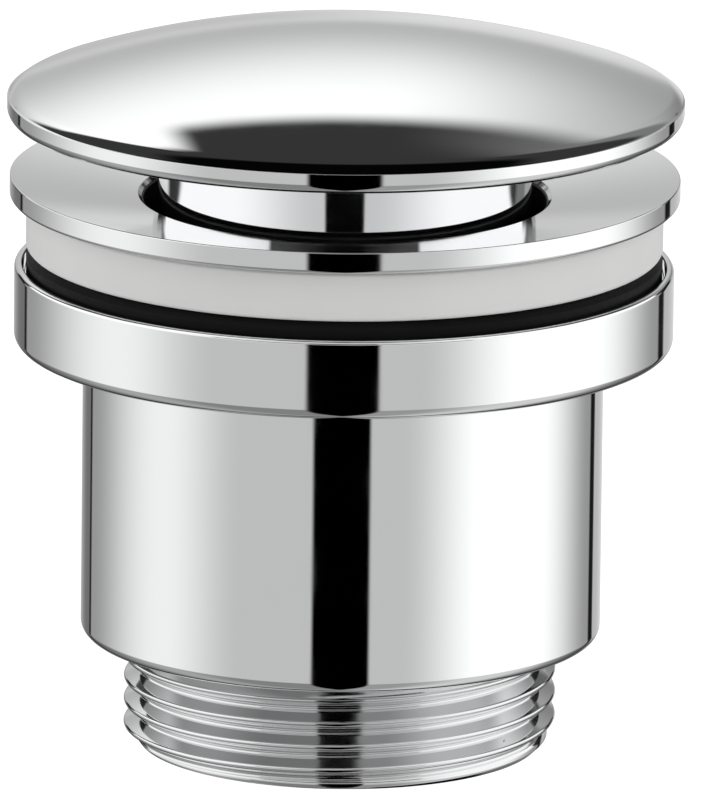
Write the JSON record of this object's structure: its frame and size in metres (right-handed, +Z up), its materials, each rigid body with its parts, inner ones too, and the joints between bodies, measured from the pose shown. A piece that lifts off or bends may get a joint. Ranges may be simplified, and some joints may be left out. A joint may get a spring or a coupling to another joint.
{
  "type": "pop up basin waste",
  "caption": "Chromed push to open basin waste: domed plug over a dished flange, white and black clamping seals, collared cup body and threaded outlet.",
  "frame": {"origin": "on the axis of the drain, at the end face of the threaded outlet", "axes": "+Z up along the axis of the drain, from the outlet to the domed plug"},
  "size_m": [0.0654, 0.0654, 0.0702],
  "materials": {
    "polished_chrome": "polished plating on brass",
    "white_seal": "matte moulded",
    "black_rubber": "smooth moulded",
    "ivory_plastic": "moulded",
    "grey_plastic": "moulded",
    "bare_brass": "turned",
    "spring_steel": "drawn wire and stamped sheet"
  },
  "bodies": {
    "lower_unit": {"lower_body": "polished_chrome", "slip_ring": "ivory_plastic", "lower_seal": "black_rubber"},
    "seal_unit": {"upper_seal": "white_seal"},
    "upper_unit": {"upper_body": "polished_chrome", "cartridge_housing": "ivory_plastic", "cartridge_cap": "ivory_plastic", "hub_washer": "spring_steel", "lock_nut": "bare_brass", "spring_seat": "spring_steel", "return_spring": "spring_steel", "thrust_washer": "ivory_plastic"},
    "cam_unit": {"cam_ring": "grey_plastic"},
    "plug_unit": {"plunger": "bare_brass", "follower_pin": "spring_steel", "plug_sleeve": "polished_chrome", "plug_seal": "black_rubber", "cap_stud": "spring_steel", "cap_insert": "polished_chrome", "dome_cap": "polished_chrome"}
  },
  "joints": [
    {"name": "clamp_rise", "type": "slide", "parent": "lower_unit", "child": "seal_unit", "axis": [0, 0, 1], "range_m": [0, 0.02]},
    {"name": "clamp_turn", "type": "hinge", "parent": "seal_unit", "child": "upper_unit", "pos_m": [0, 0, 0.049], "axis": [0, 0, 1], "range_deg": [0, 3110]},
    {"name": "plug_press", "type": "slide", "parent": "upper_unit", "child": "plug_unit", "axis": [0, 0, 1], "range_m": [-0.005, 0], "stiffness_N_per_m": 1500, "springref_m": 0.004, "deforming": ["return_spring"]},
    {"name": "cam_turn", "type": "hinge", "parent": "upper_unit", "child": "cam_unit", "pos_m": [0, 0, 0.047], "axis": [0, 0, 1], "range_deg": [-66, 0]}
  ],
  "couplings": [
    {"joint": "clamp_rise", "follows": "clamp_turn", "m_per_rad": 0.00036748},
    {"joint": "cam_turn", "follows": "plug_press", "rad_per_m": 209.44}
  ]
}
